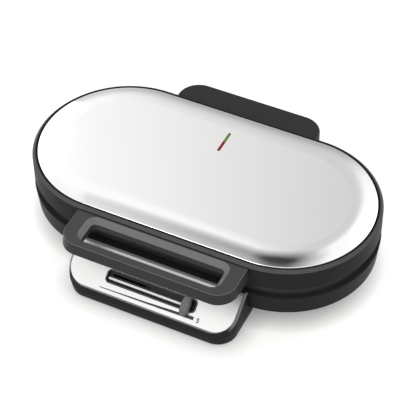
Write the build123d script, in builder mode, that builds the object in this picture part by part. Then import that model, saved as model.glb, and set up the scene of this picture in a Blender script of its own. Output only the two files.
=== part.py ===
from build123d import *
from math import asin, atan, atan2, cos, degrees, hypot, radians, sin, sqrt, tan
import os

# A flat double waffle maker: a lid and a base shaped like a stadium, a loop handle,
# a sloped control housing with a browning slider in front and a hinge behind.
# Millimetres, +Z up, +X to the user's right, -Y towards the user.
# The origin is on the floor, in the middle of the whole appliance.

# Moulds and the outline that goes round them
mould_x = 98.5
lobe_r = 18.8
lobe_spread = 0.93
heart_ridge = 3.0
hearts_per_mould = 5
panel_r = 99.4

# Heights above the floor
base_floor_z = 6.7
flank_height = 19.0
base_wall_height = 24.3
plate_step = 7.0
lid_height = 28.0

# Lid
panel_crown = 5.0
panel_roll = 28.0
panel_bend = 1.2
sheet = 0.8
groove = 1.7
rim_wall = 4.2
shell_wall = 2.6
rim_chamfer = 3.2
lip = 2.5
panel_seat = 5.5

# Base
base_step = 0.2
base_draft = 5.6
flank_slope = 45.0
bottom_sheet = 2.5
bottom_margin = 1.5
floor_flange = 10.0
vent_pitch = 9.0
vent_count = 7
vent_length = 60.0
vent_width = 3.0

# Cooking plates
plate_setback = 5.8
plate_overlap = 7.5
plate_gap = 0.4
mould_depth = 7.0
ridge_drop = 2.5
plate_web = 3.2
plate_back_gap = 1.0
rib_pitch = 14.0
rib_width = 3.0
rib_height = 3.6

# Heaters and heat shields
heater_ring_r = 52.0
heater_r = 3.2
heater_gap = 40.0
heater_tail = 8.0
tail_r = 2.6
terminal_r = 1.25
terminal_length = 9.0
channel_wall = 2.4
channel_depth = 4.2
fit_gap = 0.1
shield_setback = 3.0
shield_depth = 11.0
shield_screw_inset = 16.0

# Handle
handle_half = 101.2
handle_reach = 48.5
handle_corner = 21.3
handle_drop = 4.7
handle_thick = 13.4
handle_draft = 9.0
grip_side_wall = 15.7
grip_bar = 8.6
grip_rear_wall = 1.6
grip_corner = 11.5
grip_bevel = 5.8
handle_screw_up = 3.6
handle_screw_x = 40.0
handle_screw_inset = 11.2
edge_round = 0.8

# Hinge and its cover
cover_half = 88.0
cover_reach = 31.5
cover_corner = 25.5
cover_drop = 4.0
cover_wall = 3.0
cover_round = 1.5
cover_screw_up = 12.0
cover_screw_x = 30.0
cover_screw_inset = 10.0
hinge_back = 12.7
hinge_x = 58.0
knuckle_r = 8.0
knuckle_width = 14.0
ear_width = 5.6
pin_r = 3.0
running_gap = 0.05
side_gap = 0.35
arm_sheet = 3.0
arm_height = 19.0
arm_screw_up = 9.0
pin_head = 1.2
pin_head_r = 4.6

# Rear bracket
bracket_margin = 17.0
bracket_reach = 17.5
bracket_height = 26.0
bracket_drop = 2.7
stop_width = 12.0
stop_x = 30.0
stop_height = 6.6
post_knee_drop = 10.0
post_depth = 9.5

# Control housing
housing_half = 101.6
housing_reach = 46.5
housing_corner = 24.5
housing_bottom_z = 2.0
housing_draft_z = 15.2
housing_draft = 10.0
housing_wall = 2.6
housing_chamfer = 2.6
housing_screw_down = 12.0
housing_screw_x = 40.0
housing_screw_inset = 16.6

# Sloped control plate
control_front_margin = 2.2
control_front_z = 18.8
control_slope = 0.757
control_side_margin = 3.0
control_inset = 1.6
control_back_margin = 2.7
control_corner = 22.0
control_back_corner = 1.5
control_sheet = 1.2
control_proud = 0.4

# Browning slider
slot_half = 54.7
slot_low = 12.9
slot_high = 28.7
slot_corner = 5.0
slot_wall = 2.0
slot_flange = 0.6
slot_depth = 5.0
slot_floor = 1.5
slit_low = 22.0
slit_high = 24.4
rail_low = 17.4
rail_high = 19.8
rail_height = 1.6
rail_end = 40.0
knob_travel = 43.7
knob_width = 10.4
knob_end_width = 7.0
knob_end_bulge = 0.9
knob_low = 7.0
knob_high = 29.0
knob_height = 8.5
stem_gap = 0.35
stem_socket = 2.5
slot_step = 1.0
knob_corner = 2.6
knob_round = 2.2
stem_width = 5.0
carriage_width = 22.0
ramp_half = 47.0
ramp_thin = 3.0
ramp_thick = 7.0
ramp_width = 8.0

# Thermostat
plunger_r = 2.0
plunger_length = 12.0
plunger_gap = 0.3
thermostat_depth = 14.0
thermostat_x = 24.0
thermostat_along = 15.0
thermostat_thick = 12.0

# Indicator
lens_front = 33.0
lens_back = 65.0
lens_width = 3.4
lens_gap = 0.1
lens_proud = 0.2
lens_flange = 2.2
lens_flange_thick = 1.5
lamp_r = 2.4
lamp_length = 11.0
lens_split = 49.0
lens_foot_drop = 8.0

# Fasteners, feet and cord gland
screw_r = 1.5
screw_hole_r = 1.7
screw_head_r = 2.9
screw_head = 2.0
screw_length = 9.0
short_screw = 6.5
hole_spare = 0.5
boss_r = 4.5
boss_depth = 12.0
foot_r = 8.0
foot_stem_r = 3.0
front_foot_side = 21.6
front_foot_inset = 24.0
rear_foot_side = 13.0
rear_foot_inset = 9.0
gland_r = 6.0
gland_bore_r = 3.6
gland_flange_r = 9.0
gland_flange = 2.0
foot_stem_spare = 1.5

# Terminal block and thermal fuse
terminal_y = 50.0
terminal_long = 44.0
terminal_wide = 16.0
terminal_high = 14.0
fuse_r = 2.2
fuse_length = 14.0

# Worked out from the values above
base_skirt_z = base_floor_z + flank_height
base_top_z = base_skirt_z + base_wall_height
parting_z = base_top_z + plate_step
lid_bottom_z = parting_z + plate_step
panel_edge_z = lid_bottom_z + lid_height
lid_r = panel_r + groove + rim_wall
base_r = lid_r + base_step
plate_r = lid_r - plate_setback
lip_r = plate_r - plate_overlap
plate_back_r = lip_r - plate_back_gap
shield_r = plate_back_r - shield_setback
shield_screw_y = plate_back_r - shield_screw_inset
handle_front = lid_r + handle_reach
grip_front = handle_front - grip_bar
grip_back = lid_r + grip_rear_wall
grip_half = handle_half - grip_side_wall
cover_back = lid_r + cover_reach
cover_bottom_z = lid_bottom_z - cover_drop
cover_screw_z = lid_bottom_z + cover_screw_up
cover_screw_outer = cover_half - cover_screw_inset
hinge_y = lid_r + hinge_back
hinge_z = parting_z
arm_screw_z = lid_bottom_z + arm_screw_up
bracket_half = hinge_x + bracket_margin
bracket_back = base_r + bracket_reach
bracket_bottom_z = base_floor_z - bracket_drop
bracket_top_z = bracket_bottom_z + bracket_height
gland_z = (bracket_bottom_z + bracket_top_z) / 2
stop_z = bracket_top_z + stop_height
post_knee_z = base_top_z - post_knee_drop
housing_front = base_r + housing_reach
housing_screw_z = base_top_z - housing_screw_down
housing_screw_outer = housing_half - housing_screw_inset
control_front = housing_front - control_front_margin
control_half = housing_half - control_side_margin
handle_screw_outer = handle_half - handle_screw_inset
foot_x = housing_half - front_foot_side
front_foot_y = housing_front - front_foot_inset
rear_foot_x = bracket_half - rear_foot_side
rear_foot_y = bracket_back - rear_foot_inset
half_sector = radians(180 / hearts_per_mould)
lobe_y = lobe_spread * lobe_r
lobe_x = (lobe_r + heart_ridge / 2 + lobe_y * cos(half_sector)) / sin(half_sector)
tip_x = heart_ridge / 2 / sin(half_sector)
mould_r = hypot(lobe_x, lobe_y) + lobe_r
body_y = (handle_front + handle_thick * tan(radians(handle_draft)) - cover_back) / 2
handle_top_z = panel_edge_z - handle_drop
handle_bottom_z = handle_top_z - handle_thick
handle_screw_z = handle_bottom_z + handle_screw_up
panel_seat_z = panel_edge_z - panel_seat
skirt_r = base_r - (base_top_z - base_skirt_z) * tan(radians(base_draft))
floor_r = skirt_r - (base_skirt_z - base_floor_z) * tan(radians(flank_slope))
tilt = degrees(atan(control_slope))
control_length = (base_top_z - control_front_z) / sin(radians(tilt)) - control_back_margin
slot_middle = (slit_low + slit_high) / 2
ramp_slope = (ramp_thick - ramp_thin) / (2 * ramp_half)
knob_bottom = control_proud + slot_flange + stem_gap
carriage_top = -slot_depth - stem_gap
stem_half = stem_width / 2
rail_start = slot_half - slot_wall - edge_round
knob_middle = (knob_low + knob_high) / 2
knob_half = (knob_high - knob_low) / 2
plunger_top = carriage_top - ramp_thin - (ramp_half - knob_travel) * ramp_slope - plunger_gap
ear_inner = knuckle_width / 2 + side_gap
ear_outer = ear_inner + ear_width
screw_ring_r = (lip_r + plate_r) / 2
channel_outer_r = heater_ring_r + heater_r + fit_gap
channel_inner_r = heater_ring_r - heater_r - fit_gap
panel_top_z = panel_edge_z + panel_crown
lens_foot_z = panel_top_z - lens_foot_drop
lamp_z = lens_foot_z - lamp_r - lens_gap
upper_shield_z = parting_z + plate_gap + mould_depth + plate_web + shield_depth
lower_shield_z = parting_z - mould_depth - plate_web - shield_depth
housing_screw_drop = housing_screw_down + screw_head_r
housing_screw_y = shell_wall - base_r + housing_screw_drop * tan(radians(base_draft))
shield_screw_points = [(0, -shield_screw_y), (0, shield_screw_y), (-mould_x, 0), (mould_x, 0)]
handle_screw_points = [
    (x, 0) for x in (-handle_screw_outer, -handle_screw_x, handle_screw_x, handle_screw_outer)]
cover_screw_points = [
    (x, 0) for x in (-cover_screw_outer, -cover_screw_x, cover_screw_x, cover_screw_outer)]
arm_screw_points = [(-hinge_x, 0), (hinge_x, 0)]
housing_screw_points = [
    (x, 0) for x in (-housing_screw_outer, -housing_screw_x, housing_screw_x, housing_screw_outer)]
front_foot_points = [(-foot_x, -front_foot_y), (foot_x, -front_foot_y)]
rear_foot_points = [(-rear_foot_x, rear_foot_y), (rear_foot_x, rear_foot_y)]


def level(z):
    """Plane at a height, centred on the body."""
    return Plane(origin=(0, body_y, z))


def slope(depth=0.0):
    """Plane of the control panel's top, with its local Y going up the slope from the front edge."""
    top = Plane(
        origin=(0, body_y - control_front, control_front_z), x_dir=(1, 0, 0),
        z_dir=(0, -sin(radians(tilt)), cos(radians(tilt))))
    return top.offset(depth)


def facing(y, z, way):
    """Plane square to Y at a distance behind the body's middle, looking back for 1 and forward for -1."""
    return Plane(origin=(0, body_y + y, z), x_dir=(1, 0, 0), z_dir=(0, way, 0))


def section(x):
    """Plane square to X on the control panel, with local X up the slope and local Y out of it."""
    return Plane(
        origin=(x, body_y - control_front, control_front_z),
        x_dir=(0, cos(radians(tilt)), sin(radians(tilt))), z_dir=(1, 0, 0))


def upright(x):
    """Plane square to X, with its local X along the appliance's Y and its local Y up."""
    return Plane(origin=(x, body_y, 0), x_dir=(0, 1, 0), z_dir=(1, 0, 0))


def stadium(radius, z):
    """The body's outline at a height."""
    with BuildSketch(level(z)) as outline:
        SlotCenterToCenter(2 * mould_x, 2 * radius)
    return outline.sketch


def stadium_ring(outer, inner, z):
    """The outline with a smaller one cut out of it."""
    with BuildSketch(level(z)) as outline:
        SlotCenterToCenter(2 * mould_x, 2 * outer)
        SlotCenterToCenter(2 * mould_x, 2 * inner, mode=Mode.SUBTRACT)
    return outline.sketch


def rounded(half, low, high, corner, plane):
    """A rounded rectangle, centred on X, from low to high along the plane's Y."""
    with BuildSketch(plane) as outline:
        with Locations((0, (low + high) / 2)):
            RectangleRounded(2 * half, high - low, corner)
    return outline.sketch


def base_form(grow=0.0, top_z=base_top_z):
    """The base's outside up to a height: a drafted wall over a slanted flank."""
    top_r = base_r - (base_top_z - top_z) * tan(radians(base_draft)) + grow
    with BuildPart() as form:
        extrude(stadium(top_r, top_z), amount=base_skirt_z - top_z, taper=base_draft)
        flank = stadium(skirt_r + grow, base_skirt_z)
        extrude(flank, amount=base_floor_z - base_skirt_z, taper=flank_slope)
    return form.part


def wedge(inset, bevel=0.0):
    """The control housing's outside, drawn in by an inset on every face, with its top edge bevelled."""
    plan = rounded(
        housing_half - inset, inset - housing_front, 0, housing_corner - inset, level(housing_draft_z))
    with BuildPart() as form:
        extrude(plan, amount=housing_bottom_z + inset - housing_draft_z, taper=housing_draft)
        extrude(plan, amount=2 * panel_edge_z)
        split(bisect_by=slope(-inset), keep=Keep.BOTTOM)
        if bevel:
            front = (control_front - housing_front) / cos(radians(tilt))
            cap = rounded(housing_half - bevel, front + bevel, 3 * control_length, housing_corner, slope())
            extrude(cap, amount=-2 * panel_edge_z, taper=-45, mode=Mode.INTERSECT)
        split(bisect_by=level(base_top_z - inset), keep=Keep.BOTTOM)
        split(bisect_by=facing(-floor_r - bottom_margin - inset, 0, 1), keep=Keep.BOTTOM)
    return form.part


def bracket_block(inset):
    """The rear bracket's outside, drawn in by an inset on every face."""
    half = bracket_half - inset
    low = bracket_bottom_z + inset
    with BuildPart() as form:
        plan = rounded(
            half, floor_r + bottom_margin + inset, bracket_back - inset, knuckle_r - inset, level(low))
        extrude(plan, amount=bracket_top_z - inset - low)
    return form.part


def control_outline(depth, grow):
    """The control plate's outline, with larger corners in front."""
    with BuildSketch(slope(depth)) as outline:
        with Locations((0, (control_length + control_inset) / 2)):
            Rectangle(2 * (control_half + grow), control_length - control_inset + 2 * grow)
        fillet(outline.vertices().group_by(Axis.Y)[0], radius=control_corner + grow)
        fillet(outline.vertices().group_by(Axis.Y)[-1], radius=control_back_corner + grow)
    return outline.sketch


def slot_outline(depth, grow):
    """The slider slot's outline, grown or drawn in, at a height above the slope."""
    return rounded(slot_half + grow, slot_low - grow, slot_high + grow, slot_corner + grow, slope(depth))


def knob_form():
    """The knob's grip, a thick plate with bowed sides and blunt ends."""
    half, end, bulge = knob_width / 2, knob_end_width / 2, knob_half - knob_end_bulge
    with BuildPart() as form:
        with BuildSketch(slope(knob_bottom)):
            with Locations((knob_travel, knob_middle)):
                with BuildSketch(mode=Mode.PRIVATE) as plan:
                    with BuildLine():
                        ThreePointArc((-end, -bulge), (-half, 0), (-end, bulge))
                        ThreePointArc((-end, bulge), (0, knob_half), (end, bulge))
                        ThreePointArc((end, bulge), (half, 0), (end, -bulge))
                        ThreePointArc((end, -bulge), (0, -knob_half), (-end, -bulge))
                    make_face()
                    fillet(plan.vertices(), radius=knob_corner)
                add(plan.sketch)
        extrude(amount=knob_height - knob_bottom)
    return form.part


def crown(plane):
    """Half of the lid panel's section, from the middle out along the plane's X."""
    roll_r = (panel_roll ** 2 + panel_crown ** 2) / (2 * panel_crown)
    flat_r = panel_r - panel_roll
    curves = []
    for inset in (0, sheet):
        radius = roll_r - inset
        turn = asin((panel_roll - inset) / radius)
        curves.append([
            (flat_r + radius * sin(turn * share), panel_top_z - roll_r + radius * cos(turn * share))
            for share in (0, 0.5, 1)])
    (top, middle, edge), (under, inner, inner_edge) = curves
    with BuildSketch(plane) as profile:
        with BuildLine():
            Line((0, panel_top_z), top)
            ThreePointArc(top, middle, edge)
            Polyline(edge, (panel_r, panel_seat_z), (panel_r - sheet, panel_seat_z), inner_edge)
            ThreePointArc(inner_edge, inner, under)
            Polyline(under, (0, panel_top_z - sheet), (0, panel_top_z))
        make_face()
        fillet(profile.vertices().group_by(Axis.X)[-1].sort_by(Axis.Y)[-1], radius=panel_bend)
    return profile.sketch


def hearts(z):
    """The heart outlines of both moulds."""
    reach = hypot(lobe_x - tip_x, lobe_y)
    turn = atan2(lobe_y, lobe_x - tip_x) + asin(lobe_r / reach)
    flank = sqrt(reach ** 2 - lobe_r ** 2)
    side = (tip_x + flank * cos(turn), flank * sin(turn))
    with BuildSketch(level(z)) as outline:
        with Locations((-mould_x, 0), (mould_x, 0)):
            with PolarLocations(0, hearts_per_mould, start_angle=90):
                Polygon((tip_x, 0), (side[0], -side[1]), (lobe_x, -lobe_y),
                        (lobe_x, lobe_y), side, align=None)
                with Locations((lobe_x, lobe_y), (lobe_x, -lobe_y)):
                    Circle(lobe_r)
    return outline.sketch


def rosettes(z):
    """The heart outlines joined across the ridges between them."""
    with BuildSketch(level(z)) as outline:
        add(hearts(z))
        with Locations((-mould_x, 0), (mould_x, 0)):
            Circle(hypot(lobe_x, lobe_y))
    return outline.sketch


def grid(z):
    """The waffle grid inside the hearts."""
    bars = int(2 * mould_r / rib_pitch / 2) * 2
    with BuildSketch(level(z)) as outline:
        with Locations((-mould_x, 0), (mould_x, 0)):
            with GridLocations(rib_pitch, 0, bars, 1):
                Rectangle(rib_width, 2 * mould_r)
            with GridLocations(0, rib_pitch, 1, bars):
                Rectangle(2 * mould_r, rib_width)
        add(hearts(z), mode=Mode.INTERSECT)
    return outline.sketch


def screw(plane, points, length=screw_length):
    """Pan head screws whose heads stand on the plane and whose shanks go the other way."""
    with BuildPart() as pieces:
        with BuildSketch(plane):
            with Locations(*points):
                Circle(screw_head_r)
        extrude(amount=screw_head)
        with BuildSketch(plane):
            with Locations(*points):
                Circle(screw_r)
        extrude(amount=-length)
        with BuildSketch(plane.offset(screw_head)):
            with Locations(*points):
                Rectangle(screw_head_r * 1.2, screw_head / 4)
                Rectangle(screw_head / 4, screw_head_r * 1.2)
        extrude(amount=-screw_head / 2, mode=Mode.SUBTRACT)
    return pieces.part


def holes(plane, points, radius, depth):
    """Round holes cut both ways from a plane."""
    with BuildSketch(plane) as spots:
        with Locations(*points):
            Circle(radius)
    extrude(spots.sketch, amount=depth, both=True, mode=Mode.SUBTRACT)


def ring_points(radius):
    """Points shared out on the two straight sides and the two ends of the outline."""
    straight = [(x, side * radius) for x in (-mould_x * 0.9, 0, mould_x * 0.9) for side in (-1, 1)]
    ends = [
        (side * (mould_x + radius * cos(radians(angle))), radius * sin(radians(angle)))
        for side in (-1, 1) for angle in (-45, 45)]
    return straight + ends


def save(piece, name):
    """Names a finished piece and writes it."""
    piece.label = name
    export_step(piece, f"parts/{name}.step")


os.makedirs("parts", exist_ok=True)
plate_screw_points = ring_points(screw_ring_r)
bottom_screw_points = ring_points(floor_r - floor_flange / 2)

# Cooking plates, one cast piece each, with their grids, heater channels and screw bosses
for name, face_z, back in (("lower_plate", parting_z, -1), ("upper_plate", parting_z + plate_gap, 1)):
    seat_z = base_top_z if back < 0 else lid_bottom_z
    back_z = face_z + back * (mould_depth + plate_web)
    with BuildPart() as plate:
        extrude(stadium(plate_r, face_z), amount=seat_z - face_z)
        extrude(stadium(plate_back_r, seat_z), amount=back_z - seat_z)
        extrude(rosettes(face_z), amount=back * ridge_drop, mode=Mode.SUBTRACT)
        extrude(hearts(face_z), amount=back * mould_depth, mode=Mode.SUBTRACT)
        extrude(grid(face_z + back * mould_depth), amount=-back * rib_height)
        with BuildSketch(level(back_z)):
            with Locations((-mould_x, 0), (mould_x, 0)):
                Circle(channel_outer_r + channel_wall)
                Circle(channel_outer_r, mode=Mode.SUBTRACT)
                Circle(channel_inner_r)
                Circle(channel_inner_r - channel_wall, mode=Mode.SUBTRACT)
        extrude(amount=back * channel_depth)
        with BuildSketch(level(back_z)):
            with Locations(*shield_screw_points):
                Circle(boss_r)
        extrude(amount=back * (shield_depth - sheet))
        with BuildSketch(level(back_z)):
            SlotCenterToCenter(2 * mould_x, 2 * (plate_back_r - plate_web))
            with Locations((-mould_x, 0), (mould_x, 0)):
                Circle(mould_r + plate_web, mode=Mode.SUBTRACT)
            with Locations(*shield_screw_points):
                Circle(boss_r, mode=Mode.SUBTRACT)
        extrude(amount=-back * mould_depth, mode=Mode.SUBTRACT)
        holes(level(seat_z), plate_screw_points, screw_hole_r, short_screw - lip + hole_spare)
        holes(level(back_z + back * shield_depth), shield_screw_points, screw_hole_r, short_screw)
    save(plate.part, name)

# Heaters, one open ring against each mould's back, in the plate's channel
for name, face_z, back in (("lower_heaters", parting_z, -1), ("upper_heaters", parting_z + plate_gap, 1)):
    heater_z = face_z + back * (mould_depth + plate_web + fit_gap + heater_r)
    with BuildPart() as heaters:
        for side in (-1, 1):
            middle = Vector(side * mould_x, body_y, heater_z)
            first, last = [
                middle + Vector(heater_ring_r, 0, 0).rotate(Axis.Z, angle)
                for angle in (90 + heater_gap / 2, 90 - heater_gap / 2)]
            outwards = (first - middle).normalized()
            along_ring = Vector(0, 0, 1).cross(outwards)
            with BuildSketch(Plane(origin=first, x_dir=outwards, z_dir=along_ring)) as tube:
                Circle(heater_r)
            revolve(tube.sketch, axis=Axis(middle, (0, 0, 1)), revolution_arc=360 - heater_gap)
            for end in (first, last):
                root = Plane(origin=end).offset(-back * terminal_r)
                with BuildSketch(root) as tail:
                    Circle(tail_r)
                extrude(tail.sketch, amount=back * heater_tail)
                with BuildSketch(root.offset(back * heater_tail)) as pin:
                    Circle(terminal_r)
                extrude(pin.sketch, amount=back * terminal_length)
    save(heaters.part, name)

# Heat shields, trays that stand on the plates' backs
for name, face_z, back in (
        ("lower_heat_shield", parting_z, -1), ("upper_heat_shield", parting_z + plate_gap, 1)):
    back_z = face_z + back * (mould_depth + plate_web)
    shield_z = back_z + back * shield_depth
    tail_points = [
        (side * mould_x + heater_ring_r * cos(radians(angle)), heater_ring_r * sin(radians(angle)))
        for side in (-1, 1) for angle in (90 + heater_gap / 2, 90 - heater_gap / 2)]
    with BuildPart() as shield:
        extrude(stadium(shield_r, back_z), amount=shield_z - back_z)
        hollow = stadium(shield_r - sheet, back_z)
        extrude(hollow, amount=shield_z - back_z - back * sheet, mode=Mode.SUBTRACT)
        holes(level(shield_z), tail_points, heater_r + 1, 2 * sheet)
        holes(level(shield_z), shield_screw_points, screw_hole_r, 2 * sheet)
    save(shield.part, name)

# Screws that hold each plate to its shell and each shield to its plate
for name, face_z, seat_z, back in (
        ("lower_plate_screws", parting_z, base_top_z, -1),
        ("upper_plate_screws", parting_z + plate_gap, lid_bottom_z, 1)):
    shield_z = face_z + back * (mould_depth + plate_web + shield_depth)
    seat_side = Plane(origin=(0, body_y, seat_z + back * lip), x_dir=(1, 0, 0), z_dir=(0, 0, back))
    shield_side = Plane(origin=(0, body_y, shield_z), x_dir=(1, 0, 0), z_dir=(0, 0, back))
    screws = Compound(
        screw(seat_side, plate_screw_points, short_screw).solids()
        + screw(shield_side, shield_screw_points, short_screw).solids())
    save(screws, name)

# Lid panel, thin steel, flat in the middle and rolled over at its edge
with BuildPart() as lid_panel:
    for side in (-1, 1):
        end = (side * mould_x, body_y, 0)
        profile = crown(Plane(origin=end, x_dir=(0, -side, 0), z_dir=(-side, 0, 0)))
        revolve(profile, axis=Axis(end, (0, 0, 1)), revolution_arc=180)
        extrude(profile, amount=2 * mould_x)
    with BuildSketch(level(panel_top_z)):
        with Locations((0, (lens_front + lens_back) / 2)):
            SlotOverall(lens_back - lens_front, lens_width, rotation=90)
    extrude(amount=2 * sheet, both=True, mode=Mode.SUBTRACT)
save(lid_panel.part, "lid_panel")

# Lid shell, a moulded ring with a bevelled rim, a seat for the panel and a lip for the plate
with BuildPart() as lid_shell:
    extrude(stadium(lid_r, lid_bottom_z), amount=panel_edge_z - lid_bottom_z)
    chamfer(lid_shell.faces().sort_by(Axis.Z)[-1].edges(), length=rim_chamfer)
    fillet(lid_shell.faces().sort_by(Axis.Z)[0].edges(), radius=edge_round)
    extrude(stadium(panel_r + groove, panel_seat_z), amount=panel_edge_z, mode=Mode.SUBTRACT)
    extrude(
        stadium(lid_r - shell_wall, lid_bottom_z + lip), amount=panel_seat_z - lid_bottom_z - 2 * lip,
        mode=Mode.SUBTRACT)
    extrude(stadium(lip_r, lid_bottom_z), amount=panel_edge_z, mode=Mode.SUBTRACT)
    holes(level(lid_bottom_z), plate_screw_points, screw_hole_r, 2 * lip)
    holes(facing(-lid_r, handle_screw_z, 1), handle_screw_points, screw_hole_r, 2 * shell_wall)
    holes(facing(lid_r, cover_screw_z, 1), cover_screw_points, screw_hole_r, 2 * shell_wall)
    holes(facing(lid_r, arm_screw_z, -1), arm_screw_points, screw_hole_r, 2 * shell_wall)
save(lid_shell.part, "lid_shell")

# Handle, a loop with a bevelled grip hole, seated on the front of the lid's wall
with BuildPart() as handle:
    extrude(
        rounded(handle_half, -handle_front, 0, handle_corner, level(handle_top_z)),
        amount=-handle_thick, taper=-handle_draft)
    extrude(stadium(lid_r, handle_bottom_z - lip), amount=panel_edge_z, mode=Mode.SUBTRACT)
    upper_hole, lower_hole = [
        rounded(grip_half - inset, -grip_front, -grip_back - inset, grip_corner - inset,
                level(handle_top_z - inset))
        for inset in (0, grip_bevel)]
    loft([upper_hole, lower_hole], ruled=True, mode=Mode.SUBTRACT)
    extrude(lower_hole, amount=-handle_thick, mode=Mode.SUBTRACT)
    outer = handle.faces().sort_by(Axis.Z)[-1].outer_wire().edges()
    fillet(outer.filter_by_position(Axis.Y, -handle_front, body_y - lid_r - edge_round), radius=edge_round)
    holes(facing(-lid_r, handle_screw_z, 1), handle_screw_points, screw_hole_r, screw_length - shell_wall)
save(handle.part, "handle")
save(screw(facing(shell_wall - lid_r, handle_screw_z, 1), handle_screw_points), "handle_screws")

# Indicator lenses, light guides that rise through one slot, on a flange under the panel
for name, low, high in (
        ("indicator_lens_red", lens_front, lens_split), ("indicator_lens_green", lens_split, lens_back)):
    with BuildPart() as lens:
        with BuildSketch(level(lens_foot_z)):
            with Locations((0, (lens_front + lens_back) / 2)):
                SlotOverall(lens_back - lens_front - 2 * lens_gap, lens_width - 2 * lens_gap, rotation=90)
            with Locations((0, (low + high) / 2)):
                Rectangle(2 * lens_width, high - low - lens_gap, mode=Mode.INTERSECT)
        extrude(amount=panel_top_z + lens_proud - lens_foot_z)
        with BuildSketch(level(panel_top_z - sheet)):
            with Locations((0, (low + high) / 2)):
                Rectangle(lens_width + 2 * lens_flange, high - low - lens_gap)
        extrude(amount=-lens_flange_thick)
    save(lens.part, name)

# Indicator lamps and the holder they lie in, on the upper heat shield
with BuildPart() as lamp_holder:
    with BuildSketch(level(upper_shield_z)):
        with Locations((0, (lens_front + lens_back) / 2)):
            Rectangle(4 * lamp_r + 2 * lip, lens_back - lens_front + 2 * lip)
    extrude(amount=lamp_z - upper_shield_z)
    fillet(lamp_holder.edges().filter_by(Axis.Z), radius=lip)
    with BuildSketch(facing(lens_front, lamp_z, 1)):
        Circle(lamp_r + fit_gap)
    extrude(amount=lens_back - lens_front, mode=Mode.SUBTRACT)
save(lamp_holder.part, "lamp_holder")
with BuildPart() as indicator_lamps:
    for low in (lens_front, lens_split):
        with BuildSketch(facing(low + lip, lamp_z, 1)) as bulb:
            Circle(lamp_r)
        extrude(bulb.sketch, amount=lamp_length)
    fillet(indicator_lamps.faces().filter_by(Axis.Y).edges(), radius=lamp_r / 2)
save(indicator_lamps.part, "indicator_lamps")

# Hinge cover, a hood behind the lid with screw bosses on the lid's wall
with BuildPart() as hinge_cover:
    extrude(
        rounded(cover_half, 0, cover_back, cover_corner, level(cover_bottom_z)),
        amount=handle_top_z - cover_bottom_z)
    fillet(
        hinge_cover.faces().sort_by(Axis.Z)[-1].edges().filter_by_position(
            Axis.Y, body_y + lid_r / 2, body_y + cover_back),
        radius=cover_round)
    extrude(
        rounded(cover_half - cover_wall, 0, cover_back - cover_wall, cover_corner - cover_wall,
                level(cover_bottom_z)),
        amount=handle_top_z - cover_wall - cover_bottom_z, mode=Mode.SUBTRACT)
    with BuildSketch(facing(0, cover_screw_z, -1)) as bosses:
        with Locations(*cover_screw_points):
            Circle(boss_r)
            Rectangle(lip, handle_top_z - cover_screw_z - cover_wall / 2, align=(Align.CENTER, Align.MIN))
    extrude(bosses.sketch, amount=-(lid_r + boss_depth))
    extrude(stadium(lid_r, cover_bottom_z - lip), amount=panel_edge_z, mode=Mode.SUBTRACT)
    holes(facing(lid_r, cover_screw_z, -1), cover_screw_points, screw_hole_r, screw_length - shell_wall)
save(hinge_cover.part, "hinge_cover")
save(screw(facing(lid_r - shell_wall, cover_screw_z, -1), cover_screw_points), "cover_screws")

# Hinge arms, one folded bracket on each side with two ears round the base's knuckle
for name, side in (("hinge_arm_left", -1), ("hinge_arm_right", 1)):
    with BuildPart() as arm:
        with BuildSketch(facing(lid_r, lid_bottom_z, -1)) as back_sheet:
            with Locations((side * hinge_x, 0)):
                Rectangle(2 * ear_outer, arm_height, align=(Align.CENTER, Align.MIN))
        extrude(back_sheet.sketch, amount=-arm_sheet)
        for low in (-ear_outer, ear_inner):
            with BuildSketch(upright(side * hinge_x + low)) as ear:
                with Locations((hinge_y, hinge_z)):
                    Circle(knuckle_r)
                with Locations((lid_r, lid_bottom_z)):
                    Rectangle(arm_sheet, arm_height, align=Align.MIN)
                make_hull()
            extrude(ear.sketch, amount=ear_width)
        with BuildSketch(upright(side * hinge_x - ear_outer)) as bore:
            with Locations((hinge_y, hinge_z)):
                Circle(pin_r + running_gap)
        extrude(bore.sketch, amount=2 * ear_outer, mode=Mode.SUBTRACT)
        holes(facing(lid_r, arm_screw_z, -1), [(side * hinge_x, 0)], screw_hole_r, 2 * arm_sheet)
    save(arm.part, name)
save(screw(facing(lid_r - shell_wall, arm_screw_z, -1), arm_screw_points, short_screw), "hinge_arm_screws")

# Hinge pins, headed at both ends
with BuildPart() as hinge_pins:
    for side in (-1, 1):
        half = ear_outer + side_gap
        with BuildSketch(upright(side * hinge_x - half - pin_head)) as pin:
            with Locations((hinge_y, hinge_z)):
                Circle(pin_r)
        extrude(pin.sketch, amount=2 * (half + pin_head))
        for low in (-half - pin_head, half):
            with BuildSketch(upright(side * hinge_x + low)) as head:
                with Locations((hinge_y, hinge_z)):
                    Circle(pin_head_r)
            extrude(head.sketch, amount=pin_head)
save(hinge_pins.part, "hinge_pins")

# Base shell, a drafted tray with a lip for the plate and a flange for the bottom cover
with BuildPart() as base_shell:
    add(base_form())
    add(base_form(-shell_wall, base_top_z - lip), mode=Mode.SUBTRACT)
    extrude(stadium(lip_r, base_top_z - 2 * lip), amount=4 * lip, mode=Mode.SUBTRACT)
    extrude(stadium_ring(floor_r, floor_r - floor_flange, base_floor_z), amount=lip)
    holes(level(base_top_z), plate_screw_points, screw_hole_r, 2 * lip)
    holes(level(base_floor_z), bottom_screw_points, screw_hole_r, 2 * lip)
    holes(facing(-base_r, housing_screw_z, 1), housing_screw_points, screw_hole_r, 4 * shell_wall)
    holes(facing(base_r, housing_screw_z, 1), arm_screw_points, screw_hole_r, 4 * shell_wall)
    holes(facing(-floor_r, gland_z, 1), [(foot_x / 2, 0)], gland_r, base_r - floor_r)
    holes(facing(floor_r, gland_z, 1), [(0, 0)], gland_r, base_r - floor_r)
save(base_shell.part, "base_shell")

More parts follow.
